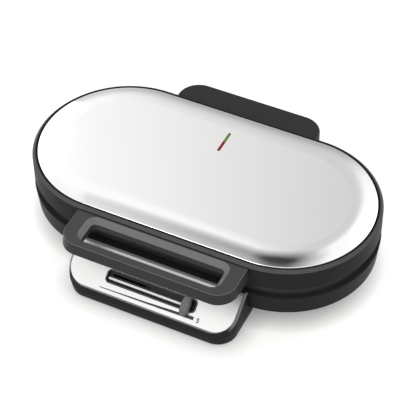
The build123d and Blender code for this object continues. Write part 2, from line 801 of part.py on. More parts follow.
# Bottom cover, a vented sheet under the base's flange
with BuildPart() as bottom_cover:
    extrude(stadium(floor_r - bottom_margin, base_floor_z), amount=-bottom_sheet)
    fillet(bottom_cover.faces().sort_by(Axis.Z)[0].edges(), radius=edge_round)
    with BuildSketch(level(base_floor_z)):
        with Locations((-mould_x, 0), (mould_x, 0)):
            with GridLocations(0, vent_pitch, 1, vent_count):
                SlotOverall(vent_length, vent_width)
    extrude(amount=bottom_sheet, both=True, mode=Mode.SUBTRACT)
    holes(level(base_floor_z), bottom_screw_points, screw_hole_r, 2 * lip)
save(bottom_cover.part, "bottom_cover")
bottom_side = Plane(origin=(0, body_y, base_floor_z - bottom_sheet), x_dir=(1, 0, 0), z_dir=(0, 0, -1))
save(screw(bottom_side, bottom_screw_points, short_screw), "bottom_screws")

# Rear bracket, a hollow block behind the base with the hinge knuckles, stops and cord outlet
bracket_hollow = bracket_block(shell_wall) - base_form(shell_wall)
with BuildPart() as rear_bracket:
    add(bracket_block(0))
    for side in (-1, 1):
        with BuildSketch(upright(side * hinge_x - knuckle_width / 2)) as web:
            with Locations((hinge_y, hinge_z)):
                Circle(knuckle_r)
            with Locations((base_r - arm_sheet, post_knee_z)):
                Rectangle(post_depth, base_top_z - post_knee_z, align=Align.MIN)
            make_hull()
        extrude(web.sketch, amount=knuckle_width)
        with BuildSketch(upright(side * hinge_x - knuckle_width / 2)) as post:
            with Locations((base_r - arm_sheet, bracket_top_z - lip)):
                Rectangle(post_depth, base_top_z - bracket_top_z, align=Align.MIN)
        extrude(post.sketch, amount=knuckle_width)
    with BuildSketch(level(bracket_top_z - lip)) as stops:
        with Locations((-stop_x, bracket_back - stop_width / 2), (stop_x, bracket_back - stop_width / 2)):
            Rectangle(stop_width, stop_width)
    extrude(stops.sketch, amount=stop_z - bracket_top_z + lip)
    add(base_form(), mode=Mode.SUBTRACT)
    add(bracket_hollow, mode=Mode.SUBTRACT)
    for side in (-1, 1):
        with BuildSketch(upright(side * hinge_x - knuckle_width)) as bore:
            with Locations((hinge_y, hinge_z)):
                Circle(pin_r + running_gap)
        extrude(bore.sketch, amount=2 * knuckle_width, mode=Mode.SUBTRACT)
    post_side = facing(-housing_screw_y, housing_screw_z, 1)
    holes(post_side, arm_screw_points, screw_hole_r, screw_length + hole_spare)
    holes(facing(floor_r, gland_z, 1), [(0, 0)], gland_r, 2 * (base_r - floor_r))
    holes(facing(bracket_back, gland_z, 1), [(0, 0)], gland_r + fit_gap, 2 * shell_wall)
    holes(level(bracket_bottom_z), rear_foot_points, foot_stem_r + fit_gap, 2 * shell_wall)
save(rear_bracket.part, "rear_bracket")

# Cord gland, a flanged bush in the bracket's back wall
with BuildPart() as cord_gland:
    with BuildSketch(facing(bracket_back, gland_z, -1)):
        Circle(gland_flange_r)
    extrude(amount=-gland_flange)
    with BuildSketch(facing(bracket_back, gland_z, -1)):
        Circle(gland_r)
    extrude(amount=shell_wall + gland_flange)
    holes(facing(bracket_back, gland_z, 1), [(0, 0)], gland_bore_r, 4 * shell_wall)
save(cord_gland.part, "cord_gland")

# Control housing, a hollow wedge that hugs the base's front wall
housing_hollow = wedge(housing_wall) - base_form(housing_wall)
with BuildPart() as control_housing:
    add(wedge(0, housing_chamfer))
    add(base_form(), mode=Mode.SUBTRACT)
    add(housing_hollow, mode=Mode.SUBTRACT)
    extrude(
        control_outline(control_proud - control_sheet, fit_gap), amount=control_sheet, mode=Mode.SUBTRACT)
    slot_hole = slot_outline(-2 * housing_wall, fit_gap - slot_step)
    extrude(slot_hole, amount=4 * housing_wall, mode=Mode.SUBTRACT)
    holes(facing(-base_r, housing_screw_z, 1), housing_screw_points, screw_hole_r, 4 * shell_wall)
    holes(facing(-floor_r, gland_z, 1), [(foot_x / 2, 0)], gland_r, base_r - floor_r)
    holes(level(housing_bottom_z), front_foot_points, foot_stem_r + fit_gap, 2 * housing_wall)
save(control_housing.part, "control_housing")
front_side = screw(facing(housing_screw_y, housing_screw_z, 1), housing_screw_points)
rear_side = screw(facing(-housing_screw_y, housing_screw_z, -1), arm_screw_points)
save(Compound(front_side.solids() + rear_side.solids()), "housing_screws")

# Control plate, a thin plate let into the slope
with BuildPart() as control_plate:
    extrude(control_outline(control_proud - control_sheet, 0), amount=control_sheet)
    extrude(slot_outline(-control_sheet, fit_gap - slot_step), amount=3 * control_sheet, mode=Mode.SUBTRACT)
save(control_plate.part, "control_plate")

# Slot frame, a flanged tub with a slit for the knob's stem
with BuildPart() as slot_frame:
    extrude(slot_outline(control_proud, 0), amount=slot_flange)
    extrude(slot_outline(-slot_depth, -slot_step), amount=slot_depth + control_proud)
    extrude(slot_outline(slot_floor - slot_depth, -slot_wall), amount=2 * slot_depth, mode=Mode.SUBTRACT)
    rim = slot_frame.faces().sort_by(Axis((0, 0, 0), slope().z_dir))[-1]
    chamfer(rim.edges(), length=slot_flange * 0.6)
    with BuildSketch(slope(-slot_depth)):
        with Locations((0, slot_middle)):
            Rectangle(2 * (knob_travel + knob_width / 2), slit_high - slit_low)
    extrude(amount=2 * slot_floor, both=True, mode=Mode.SUBTRACT)
save(slot_frame.part, "slot_frame")

# Guide rail, a bright strip along the tub's floor
with BuildPart() as guide_rail:
    with BuildSketch(slope(slot_floor - slot_depth)):
        with Locations(((rail_end - rail_start) / 2, (rail_low + rail_high) / 2)):
            RectangleRounded(rail_start + rail_end, rail_high - rail_low, edge_round)
    extrude(amount=rail_height)
save(guide_rail.part, "guide_rail")

# Slider knob, bowed along both sides, with a stem through the slit, at the hottest end of its travel
with BuildPart() as slider_knob:
    add(knob_form())
    fillet(slider_knob.faces().sort_by(Axis((0, 0, 0), slope().z_dir))[-1].edges(), radius=knob_round)
    with BuildSketch(slope(carriage_top - stem_socket)):
        with Locations((knob_travel, slot_middle)):
            Rectangle(2 * stem_half, slit_high - slit_low - 2 * stem_gap)
    extrude(amount=knob_bottom - carriage_top + stem_socket + edge_round)
save(slider_knob.part, "slider_knob")

# Slider carriage, a ramp under the slot that works the thermostat, with a shoe on each side
with BuildPart() as slider_carriage:
    ramp_side = Plane(
        origin=slope().from_local_coords(Vector(knob_travel, slot_middle + ramp_width / 2, carriage_top)),
        x_dir=(1, 0, 0), z_dir=-section(0).x_dir)
    with BuildSketch(ramp_side):
        Polygon(
            (-ramp_half, 0), (-ramp_half, -ramp_thin), (ramp_half, -ramp_thick), (ramp_half, 0),
            align=None)
    extrude(amount=ramp_width)
    with BuildSketch(slope(carriage_top)):
        with Locations((knob_travel, slot_middle)):
            RectangleRounded(carriage_width, 2 * ramp_width, edge_round)
    extrude(amount=-ramp_thin * 0.7)
    with BuildSketch(slope(carriage_top)):
        with Locations((knob_travel, slot_middle)):
            Rectangle(2 * (stem_half + fit_gap), slit_high - slit_low - 2 * (stem_gap - fit_gap))
    extrude(amount=-(stem_socket + fit_gap), mode=Mode.SUBTRACT)
save(slider_carriage.part, "slider_carriage")

# Thermostat with its plunger, which the ramp presses down, on a moulded stand
with BuildPart() as thermostat_plunger:
    with BuildSketch(slope(plunger_top)):
        with Locations((0, slot_middle)):
            Circle(plunger_r)
    extrude(amount=-plunger_length)
    fillet(thermostat_plunger.edges().filter_by(GeomType.CIRCLE), radius=plunger_r / 2)
save(thermostat_plunger.part, "thermostat_plunger")
with BuildPart() as thermostat:
    with BuildSketch(slope(-thermostat_depth)):
        with Locations((0, slot_middle)):
            RectangleRounded(thermostat_x, thermostat_along, lip)
    extrude(amount=-thermostat_thick)
    with BuildSketch(slope(-thermostat_depth)):
        with Locations((0, slot_middle)):
            Circle(plunger_r + running_gap)
    extrude(amount=-(thermostat_thick - sheet), mode=Mode.SUBTRACT)
save(thermostat.part, "thermostat")
foot_line = -(thermostat_depth + thermostat_thick)
stand_z = housing_bottom_z + housing_wall
corners = [
    slope().from_local_coords(Vector(0, slot_middle + half * thermostat_along / 2, foot_line))
    for half in (-1, 1)]
with BuildPart() as thermostat_stand:
    with BuildSketch(upright(-thermostat_x / 3)):
        Polygon(
            (corners[0].Y - body_y, corners[0].Z), (corners[1].Y - body_y, corners[1].Z),
            (corners[1].Y - body_y, stand_z), (corners[0].Y - body_y, stand_z), align=None)
    extrude(amount=thermostat_x * 2 / 3)
save(thermostat_stand.part, "thermostat_stand")

# Rubber feet, two under the control housing and two under the rear bracket
with BuildPart() as feet:
    for points, seat in ((front_foot_points, housing_bottom_z), (rear_foot_points, bracket_bottom_z)):
        with BuildSketch(level(0)) as pads:
            with Locations(*points):
                Circle(foot_r)
        extrude(pads.sketch, amount=seat)
        with BuildSketch(level(0)) as stems:
            with Locations(*points):
                Circle(foot_stem_r)
        extrude(stems.sketch, amount=seat + housing_wall + foot_stem_spare)
save(feet.part, "feet")

# Terminal block and thermal fuse inside the base
with BuildPart() as terminal_block:
    with BuildSketch(level(base_floor_z)):
        with Locations((0, terminal_y)):
            RectangleRounded(terminal_long, terminal_wide, lip)
    extrude(amount=terminal_high)
    with BuildSketch(level(base_floor_z + terminal_high)):
        with Locations((0, terminal_y)):
            with GridLocations(terminal_long / 4, terminal_wide / 2, 4, 2):
                Circle(screw_hole_r)
    extrude(amount=-terminal_high / 2, mode=Mode.SUBTRACT)
save(terminal_block.part, "terminal_block")
with BuildPart() as thermal_fuse:
    with BuildSketch(upright(-fuse_length / 2)):
        with Locations((0, lower_shield_z - fuse_r)):
            Circle(fuse_r)
    extrude(amount=fuse_length)
    fillet(thermal_fuse.edges().filter_by(GeomType.CIRCLE), radius=fuse_r / 3)
save(thermal_fuse.part, "thermal_fuse")
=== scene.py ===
# %% [markdown]
# # A double waffle maker, finished for its photograph
#
# The construction is already done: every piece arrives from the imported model, in metres, at rest
# with the lid closed. This lesson gives those pieces their surfaces, adds the few details that are
# print or trim, and sets up the light and the camera of a catalogue picture.
#
# +X is to the right of a person who faces the handle, +Y goes towards the hinge and +Z is up.

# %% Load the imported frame
import math

import bmesh
import bpy
from mathutils import Matrix, Vector


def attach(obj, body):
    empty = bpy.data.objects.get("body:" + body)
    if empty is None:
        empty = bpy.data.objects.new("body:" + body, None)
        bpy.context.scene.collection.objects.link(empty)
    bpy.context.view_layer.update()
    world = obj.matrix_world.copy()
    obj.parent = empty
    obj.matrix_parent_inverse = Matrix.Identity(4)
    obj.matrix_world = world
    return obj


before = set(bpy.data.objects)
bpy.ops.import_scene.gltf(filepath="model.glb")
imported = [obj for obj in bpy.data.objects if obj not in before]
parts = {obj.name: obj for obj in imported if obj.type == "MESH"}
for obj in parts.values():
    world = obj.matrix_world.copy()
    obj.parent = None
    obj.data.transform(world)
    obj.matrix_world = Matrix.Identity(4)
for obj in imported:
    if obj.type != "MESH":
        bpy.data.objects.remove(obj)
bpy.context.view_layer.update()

# %% [markdown]
# ## The camera
#
# The picture was taken from above, a little to the right of the middle, with a long lens. A camera
# could be moved by eye until the view looks right, but then nothing says how wrong it still is.
# Here the outline of the lid gives the angle: two half circles joined by straight sides are seen as
# two half ellipses, and their size and slant fix the azimuth, the elevation and the distance.

# %% Place the camera
BODY_MIDDLE = Vector((0, 0.00956, 0.092))
AZIMUTH, ELEVATION, ROLL = (math.radians(v) for v in (26.45, 45.72, 0.63))
DISTANCE, SIDE_SHIFT, DROP_SHIFT = 1.7864, -0.0033, -0.0389

forward = Vector((
    -math.sin(AZIMUTH) * math.cos(ELEVATION), math.cos(AZIMUTH) * math.cos(ELEVATION),
    -math.sin(ELEVATION)))
level_right = forward.cross(Vector((0, 0, 1))).normalized()
level_down = forward.cross(level_right)
right = math.cos(ROLL) * level_right + math.sin(ROLL) * level_down
down = math.cos(ROLL) * level_down - math.sin(ROLL) * level_right
eye = BODY_MIDDLE - (DISTANCE * forward + SIDE_SHIFT * right + DROP_SHIFT * down)

camera_data = bpy.data.cameras.new("camera")
camera_data.sensor_width = 36
camera_data.lens = 140.1
camera_data.clip_start, camera_data.clip_end = 0.05, 30
camera = bpy.data.objects.new("camera", camera_data)
turned = Matrix((right, -down, -forward)).transposed().to_4x4()
camera.matrix_world = Matrix.Translation(eye) @ turned
bpy.context.scene.collection.objects.link(camera)
bpy.context.scene.camera = camera
print("camera at", [round(v, 3) for v in eye])

# %% [markdown]
# ## The floor
#
# A catalogue picture has no visible floor, only a white page with a soft shadow on it. A shadow
# catcher that is laid over white afterwards would give that too, in two steps. Here one material
# does it in the render itself. The floor is a large sheet. Its material adds a glow that only the
# camera and mirrors see, so that the page comes out white, and it keeps a matt part that takes the
# object's shadow. Where the object stands close over the page, Ambient Occlusion turns the glow
# down, as a real contact shadow does.

# %% Helpers for node trees


def wire(tree, kind, **inputs):
    """Adds a node, sets or links its inputs by name, and returns it."""
    node = tree.nodes.new(kind)
    for name, value in inputs.items():
        socket = node.inputs[name.replace("_", " ")]
        if isinstance(value, bpy.types.NodeSocket):
            tree.links.new(value, socket)
        else:
            socket.default_value = value
    return node


def seen_directly(tree):
    """1 for rays from the camera, mirrors and glass, and 0 for rays that light a surface."""
    path = tree.nodes.new("ShaderNodeLightPath")
    total = path.outputs["Is Camera Ray"]
    for name in ("Is Glossy Ray", "Is Transmission Ray"):
        step = tree.nodes.new("ShaderNodeMath")
        step.operation = "MAXIMUM"
        tree.links.new(total, step.inputs[0])
        tree.links.new(path.outputs[name], step.inputs[1])
        total = step.outputs[0]
    return total


# %% Floor
# CONTACT is how near, in metres, the object has to be to darken the page, and CREASE_SHARE is the
# part of the glow that is left in the deepest crease.
FLOOR_SIZE = 12.0
FLOOR_MATT = (0.30, 0.30, 0.297, 1)
FLOOR_GLOW = 0.76
CONTACT = 0.025
CREASE_SHARE = 0.2
PAGE_WHITE = (1, 1, 0.985, 1)

floor_mesh = bpy.data.meshes.new("floor")
sheet = bmesh.new()
bmesh.ops.create_grid(sheet, x_segments=4, y_segments=4, size=FLOOR_SIZE / 2)
sheet.to_mesh(floor_mesh)
sheet.free()
floor = bpy.data.objects.new("floor", floor_mesh)
bpy.context.scene.collection.objects.link(floor)
paper = bpy.data.materials.new("white_page")
paper.use_nodes = True
tree = paper.node_tree
tree.nodes.clear()
matt = wire(tree, "ShaderNodeBsdfDiffuse", Color=FLOOR_MATT)
glow = wire(tree, "ShaderNodeEmission", Color=PAGE_WHITE)
crease = wire(tree, "ShaderNodeAmbientOcclusion", Distance=CONTACT)
lift = wire(
    tree, "ShaderNodeMapRange", Value=crease.outputs["AO"], To_Min=CREASE_SHARE * FLOOR_GLOW,
    To_Max=FLOOR_GLOW)
share = tree.nodes.new("ShaderNodeMath")
share.operation = "MULTIPLY"
tree.links.new(seen_directly(tree), share.inputs[0])
tree.links.new(lift.outputs[0], share.inputs[1])
tree.links.new(share.outputs[0], glow.inputs["Strength"])
both = tree.nodes.new("ShaderNodeAddShader")
tree.links.new(matt.outputs[0], both.inputs[0])
tree.links.new(glow.outputs[0], both.inputs[1])
out = tree.nodes.new("ShaderNodeOutputMaterial")
tree.links.new(both.outputs[0], out.inputs["Surface"])
floor_mesh.materials.append(paper)
print("floor", FLOOR_SIZE, "m")

# %% [markdown]
# ## The room
#
# A satin steel lid is a picture of its surroundings, so the room matters more than the metal. Two
# things are kept apart. What mirrors see is a pale room whose level changes with the direction,
# around and upward, with one dark patch near the top, which the lid's front roll shows as a dark
# blotch. What lights the matt surfaces is a soft overhead light, strong above and weak at the
# horizon, so that tops come out paler than walls. The camera itself sees only the white page.
#
# The usual way is a photograph of a room, wrapped round the scene. Here a level that changes with
# a direction is a colour ramp, and two ramps multiplied give each direction its own level, so a
# reflection is moved or dimmed by changing one number.

# %% A helper for levels along a range


def band(tree, value, low, high, stops):
    """A grey ramp over low to high with the given stops, each a place and a level."""
    spot = wire(tree, "ShaderNodeMapRange", Value=value, From_Min=low, From_Max=high)
    ramp = wire(tree, "ShaderNodeValToRGB", Fac=spot.outputs[0])
    marks = ramp.color_ramp.elements
    while len(marks) < len(stops):
        marks.new(0.5)
    most = max(level for place, level in stops)
    for mark, (place, level) in zip(marks, stops):
        mark.position = (place - low) / (high - low)
        mark.color = (level / most,) * 3 + (1,)
    if most <= 1:
        return ramp.outputs["Color"]
    lifted = wire(
        tree, "ShaderNodeMixRGB", Fac=1.0, Color1=ramp.outputs["Color"],
        Color2=(most, most, most, 1))
    lifted.blend_type = "MULTIPLY"
    return lifted.outputs[0]


# %% What mirrors see
# Each mark is a place and a level. AROUND counts degrees from +Y towards +X, and UPWARD is the
# direction's height, from -1 straight down to 1 straight up.
AROUND = [(-180, 0.85), (-90, 0.90), (-60, 1.0), (-42, 1.0), (-33, 0.97), (-26, 0.80), (-18, 0.62),
          (-9, 0.66), (-1, 0.98), (44, 1.0), (90, 0.90), (180, 0.85)]
UPWARD = [(-1.0, 0.80), (0.0, 0.90), (0.08, 0.75), (0.16, 0.62), (0.24, 0.70), (0.33, 0.84),
          (0.42, 0.95), (0.50, 1.0), (1.0, 1.0)]

world = bpy.data.worlds.new("pale_room")
bpy.context.scene.world = world
world.use_nodes = True
tree = world.node_tree
tree.nodes.clear()
toward = tree.nodes.new("ShaderNodeTexCoord").outputs["Generated"]
axes = wire(tree, "ShaderNodeSeparateXYZ", Vector=toward)
turn = tree.nodes.new("ShaderNodeMath")
turn.operation = "ARCTAN2"
tree.links.new(axes.outputs["X"], turn.inputs[0])
tree.links.new(axes.outputs["Y"], turn.inputs[1])
in_radians = [(math.radians(place), level) for place, level in AROUND]
walls = wire(
    tree, "ShaderNodeMixRGB", Fac=1.0,
    Color1=band(tree, turn.outputs[0], -math.pi, math.pi, in_radians),
    Color2=band(tree, axes.outputs["Z"], -1.0, 1.0, UPWARD))
walls.blend_type = "MULTIPLY"
print("room with", len(AROUND), "marks around and", len(UPWARD), "upward")

# %% The dark patch
# Full dark inside DARK_CORE of its direction, and gone beyond DARK_EDGE.
DARK_PATCH = Vector((-0.124, 0.20, 0.972)).normalized()
DARK_CORE, DARK_EDGE, DARK_LEVEL = math.radians(5), math.radians(18.5), 0.04

nearness = tree.nodes.new("ShaderNodeVectorMath")
nearness.operation = "DOT_PRODUCT"
tree.links.new(toward, nearness.inputs[0])
nearness.inputs[1].default_value = DARK_PATCH
angle = tree.nodes.new("ShaderNodeMath")
angle.operation = "ARCCOSINE"
tree.links.new(nearness.outputs["Value"], angle.inputs[0])
patch = wire(
    tree, "ShaderNodeMapRange", Value=angle.outputs[0], From_Min=DARK_CORE, From_Max=DARK_EDGE,
    To_Min=DARK_LEVEL, To_Max=1.0)
ceiling = wire(tree, "ShaderNodeMixRGB", Fac=1.0, Color1=walls.outputs[0], Color2=patch.outputs[0])
ceiling.blend_type = "MULTIPLY"
print("dark patch", round(math.degrees(2 * DARK_EDGE)), "degrees across")

# %% The overhead light, and which rays see what
ROOM_BRIGHT = 1.24
ROOM_SOFT = 1.0
OVERHEAD = [(-1.0, 0.12), (0.0, 0.20), (0.35, 0.45), (0.7, 1.0), (1.0, 1.6)]

mirrored = wire(tree, "ShaderNodeBackground", Color=ceiling.outputs[0], Strength=ROOM_BRIGHT)
soft = wire(
    tree, "ShaderNodeBackground", Color=band(tree, axes.outputs["Z"], -1.0, 1.0, OVERHEAD),
    Strength=ROOM_SOFT)
page = wire(tree, "ShaderNodeBackground", Color=PAGE_WHITE, Strength=1.0)
lit = wire(tree, "ShaderNodeMixShader", Fac=seen_directly(tree))
tree.links.new(soft.outputs[0], lit.inputs[1])
tree.links.new(mirrored.outputs[0], lit.inputs[2])
from_camera = tree.nodes.new("ShaderNodeLightPath").outputs["Is Camera Ray"]
choose = wire(tree, "ShaderNodeMixShader", Fac=from_camera)
tree.links.new(lit.outputs[0], choose.inputs[1])
tree.links.new(page.outputs[0], choose.inputs[2])
out = tree.nodes.new("ShaderNodeOutputWorld")
tree.links.new(choose.outputs[0], out.inputs["Surface"])
print("overhead light", OVERHEAD[-1][1], "above and", OVERHEAD[1][1], "at the horizon")

# %% [markdown]
# ## Lamps
#
# Three large lamps stand in for the softboxes: one at each side behind the object, and one in
# front, a little to the left. Glowing planes would do too, but area lamps make less noise. They are
# wide, so that the shadows stay soft. The front lamp is low, because the control plate would mirror
# a higher one into the camera and come out white.

# %% Lamps


def softbox(name, place, aim, size, power):
    """A rectangular area lamp at a place, turned towards a point."""
    lamp = bpy.data.lights.new(name, "AREA")
    lamp.shape = "RECTANGLE"
    lamp.size, lamp.size_y = size
    lamp.energy = power
    box = bpy.data.objects.new(name, lamp)
    box.location = place
    box.rotation_mode = "QUATERNION"
    box.rotation_quaternion = (Vector(aim) - Vector(place)).to_track_quat("-Z", "Y")
    bpy.context.scene.collection.objects.link(box)


MIDDLE, FRONT_PART = (0, 0, 0.05), (0, -0.1, 0.05)
softbox("left_box", (-2.03, 1.10, 1.22), MIDDLE, (1.7, 1.7), 10.5)
softbox("right_box", (1.05, 1.75, 1.6), MIDDLE, (1.6, 1.5), 9)
softbox("front_box", (-0.45, -1.95, 1.25), FRONT_PART, (1.0, 0.8), 10)
bpy.context.scene.view_settings.view_transform = "Standard"

# %% [markdown]
# ## Moulded plastic
#
# The body is a black moulding. Such a surface isn't one colour: a mould leaves a fine grain, and
# the gloss changes a little from place to place. Pictures of plastic would need every piece
# unwrapped, so three noise patterns do this: a coarse one for the shade, a middle one for the
# gloss and a fine one for the grain. All of them read object coordinates, so they stay put when
# the lid opens. Surfaces that lean about 45 degrees, such as bevels, get a paler shade. It is a
# painted highlight for the light that bevels catch, and the lean comes from the normal.

# %% A material with shade, gloss and grain
# This mask says how much of the painted bevel highlight a surface gets for each height of its
# normal: 0 for walls and tops, 1 between.
CLOUD_SCALE = 22.0
GLOSS_COARSER = 6
SMOOTHEST = 0.02
PAINTED_SHEEN_BY_LEAN = [(-1.0, 0), (0.30, 0), (0.42, 1), (0.84, 1), (0.97, 0), (1.0, 0)]


def surface(name, shade, rough, metal=0.0, mottle=0.06, unevenness=0.05, grain=1400.0,
            depth=0.000015, stretch=(1, 1, 1), painted_sheen=None, **fixed):
    """A Principled material whose shade, gloss and grain vary; other sockets take plain values.

    The paler shade for bevels, when given, is a painted highlight on surfaces that lean about 45
    degrees."""
    material = bpy.data.materials.new(name)
    material.use_nodes = True
    tree = material.node_tree
    tree.nodes.clear()
    place = tree.nodes.new("ShaderNodeTexCoord")
    long_way = wire(tree, "ShaderNodeMapping", Vector=place.outputs["Object"], Scale=stretch)
    cloud = wire(
        tree, "ShaderNodeTexNoise", Vector=place.outputs["Object"], Scale=CLOUD_SCALE, Detail=3.0)
    tint = wire(tree, "ShaderNodeMixRGB", Fac=cloud.outputs["Fac"])
    for socket, side in (("Color1", 1 - mottle), ("Color2", 1 + mottle)):
        tint.inputs[socket].default_value = (*(min(1, c * side) for c in shade), 1)
    colour = tint.outputs[0]
    # Painted highlight: surfaces that lean about 45 degrees get the paler shade mixed into their
    # colour.
    if painted_sheen:
        facing_up = wire(tree, "ShaderNodeSeparateXYZ", Vector=place.outputs["Normal"]).outputs["Z"]
        lean = band(tree, facing_up, -1.0, 1.0, PAINTED_SHEEN_BY_LEAN)
        edge = wire(tree, "ShaderNodeMixRGB", Fac=lean, Color1=colour, Color2=(*painted_sheen, 1))
        colour = edge.outputs[0]
    patch = wire(
        tree, "ShaderNodeTexNoise", Vector=long_way.outputs[0], Scale=grain / GLOSS_COARSER,
        Detail=2.0)
    gloss = wire(
        tree, "ShaderNodeMapRange", Value=patch.outputs["Fac"],
        To_Min=max(SMOOTHEST, rough - unevenness), To_Max=min(1.0, rough + unevenness))
    fine = wire(
        tree, "ShaderNodeTexNoise", Vector=long_way.outputs[0], Scale=grain, Detail=2.0)
    dent = wire(tree, "ShaderNodeBump", Height=fine.outputs["Fac"], Strength=1.0, Distance=depth)
    body = wire(
        tree, "ShaderNodeBsdfPrincipled", Roughness=gloss.outputs[0], Normal=dent.outputs[0],
        Metallic=metal, **fixed)
    tree.links.new(colour, body.inputs["Base Color"])
    out = tree.nodes.new("ShaderNodeOutputMaterial")
    tree.links.new(body.outputs[0], out.inputs["Surface"])
    return material


def dress(material, *names):
    """Gives CAD pieces a material by assigning to their slots."""
    for name in names:
        piece = parts[name]
        if not piece.material_slots:
            piece.data.materials.append(material)
        for slot in piece.material_slots:
            slot.material = material


# %% Black mouldings and rubber
# The paler bevel shades below are painted highlights. The housing's copy of the body black differs
# only in having a stronger one.
body_black = surface(
    "body_black", (0.027, 0.027, 0.0267), 0.46, depth=0.00002, painted_sheen=(0.085, 0.085, 0.085),
    Specular_IOR_Level=0.05)
handle_black = surface(
    "handle_black", (0.052, 0.052, 0.052), 0.34, depth=0.000012, painted_sheen=(0.17, 0.17, 0.17),
    Specular_IOR_Level=0.08)
housing_black = surface(
    "housing_black", (0.027, 0.027, 0.0267), 0.46, depth=0.00002, painted_sheen=(0.24, 0.24, 0.24),
    Specular_IOR_Level=0.05)
slot_black = surface("slot_black", (0.011, 0.011, 0.012), 0.42, Specular_IOR_Level=0.3)
rubber_black = surface("rubber_black", (0.02, 0.02, 0.02), 0.8, depth=0.00004)
dress(body_black, "lid_shell", "base_shell", "rear_bracket", "hinge_cover")
dress(housing_black, "control_housing")
dress(handle_black, "handle")
dress(slot_black, "slot_frame", "slider_carriage")
dress(rubber_black, "feet", "cord_gland")
print("black mouldings done")

# %% [markdown]
# ## Metal
#
# The lid's panel is satin steel, with a grain that runs along it. The anisotropic setting could
# smear its reflections, but it wants a direction on every face. Noise that is stretched many times
# in X makes the grain as tiny scratches and wants nothing from the mesh. The control plate is a
# duller, finer satin. The cooking plates are cast aluminium under a dark non-stick coat, the hidden
# sheets are plain, and the screws are zinc plated.

# %% Steel, aluminium and zinc
panel_steel = surface(
    "panel_steel", (0.80, 0.795, 0.79), 0.10, metal=1.0, mottle=0.01, unevenness=0.02,
    grain=1800.0, depth=0.000003, stretch=(0.03, 1, 1))
control_satin = surface(
    "control_satin", (0.68, 0.68, 0.67), 0.36, metal=0.8, mottle=0.01, unevenness=0.03,
    grain=2200.0, depth=0.000003, stretch=(0.05, 1, 1))
nonstick = surface(
    "nonstick_coat", (0.035, 0.035, 0.037), 0.42, mottle=0.12, unevenness=0.08, grain=1600.0,
    depth=0.00003)
zinc = surface("zinc_plate", (0.62, 0.62, 0.60), 0.3, metal=1.0, mottle=0.05, unevenness=0.08)
pressed_sheet = surface(
    "pressed_sheet", (0.56, 0.56, 0.55), 0.36, metal=1.0, mottle=0.06, unevenness=0.08)
heater_steel = surface(
    "heater_steel", (0.30, 0.28, 0.26), 0.5, metal=1.0, mottle=0.15, unevenness=0.1)
dress(panel_steel, "lid_panel")
dress(control_satin, "control_plate")
dress(nonstick, "lower_plate", "upper_plate")
dress(zinc, *[name for name in parts if name.endswith("_screws")])
dress(pressed_sheet, "lower_heat_shield", "upper_heat_shield", "hinge_arm_left", "hinge_arm_right",
      "hinge_pins")
dress(heater_steel, "lower_heaters", "upper_heaters")
print("metals done")

# %% [markdown]
# ## Small coloured pieces
#
# The indicator is two lenses in one slot, red in front and green behind, unlit and so rather dark.
# Such lenses are clear, but with only darkness behind them a plain dark colour with some gloss
# looks the same, and it needs no light to be traced through them. The slider has a grey knob beside
# a pale rail. Inside there are ceramic, glass and natural mouldings, and the thermostat is dark
# brown, as such switches are, so the slot looks dark.

# %% Lenses, knob, rail and the pieces inside
lens_red = surface(
    "lens_red", (0.19, 0.004, 0.008), 0.3, mottle=0.1, depth=0.000004, Specular_IOR_Level=0.2)
lens_green = surface(
    "lens_green", (0.08, 0.20, 0.02), 0.3, mottle=0.1, depth=0.000004, Specular_IOR_Level=0.2)
knob_grey = surface("knob_grey", (0.14, 0.145, 0.145), 0.42, depth=0.00002)
rail_pale = surface("rail_pale", (0.88, 0.88, 0.86), 0.35, mottle=0.03)
lamp_glass = surface("lamp_glass", (0.9, 0.9, 0.86), 0.05, mottle=0.02, Transmission_Weight=0.9)
natural = surface("natural_moulding", (0.70, 0.66, 0.57), 0.5, mottle=0.05)
ceramic = surface("white_ceramic", (0.80, 0.78, 0.72), 0.4, mottle=0.04)
phenolic = surface("dark_phenolic", (0.026, 0.019, 0.015), 0.45, mottle=0.1)
cover_black = surface("cover_black", (0.03, 0.03, 0.03), 0.55, depth=0.00003)
dress(lens_red, "indicator_lens_red")
dress(lens_green, "indicator_lens_green")
dress(knob_grey, "slider_knob")
dress(rail_pale, "guide_rail")
dress(lamp_glass, "indicator_lamps")
dress(natural, "terminal_block", "thermostat_stand", "lamp_holder")
dress(ceramic, "thermal_fuse")
dress(phenolic, "thermostat", "thermostat_plunger")
dress(cover_black, "bottom_cover")
print("small pieces done")

# %% [markdown]
# ## The scale beside the slider
#
# The browning scale is printed on the control plate: a wedge that grows towards the hot end, with
# one number after it. A picture in the plate's material would need the plate unwrapped, and would
# blur from near. Ink has almost no thickness, so each mark is a very thin plate that lies just
# above the metal, in the plane of the slope. The marks are drawn flat, in millimetres across and
# up the slope, and one matrix puts them in place.

# %% The plane of the slope
# The slope starts at FRONT_Y and FRONT_Z, and the control plate stands PLATE_TOP out of it, all in
# millimetres. RISE is what the slope rises for each millimetre towards the back.
MM = 0.001
FRONT_Y, FRONT_Z, RISE, PLATE_TOP = -140.239, 18.8, 0.757, 0.4
tilt = math.atan(RISE)
up_slope = Vector((0, math.cos(tilt), math.sin(tilt)))
out_of_slope = Vector((0, -math.sin(tilt), math.cos(tilt)))
slope_origin = Vector((0, FRONT_Y, FRONT_Z)) * MM + out_of_slope * PLATE_TOP * MM
tilted = Matrix((Vector((1, 0, 0)), up_slope, out_of_slope)).transposed().to_4x4()
on_slope = Matrix.Translation(slope_origin) @ tilted @ Matrix.Scale(MM, 4)
print("slope is", round(math.degrees(tilt), 2), "degrees")

# %% Helpers for pieces on the slope
INK_HEIGHT = 0.05
INK_LIFT = 0.01
ink = surface("black_ink", (0.012, 0.012, 0.013), 0.4, mottle=0.1)


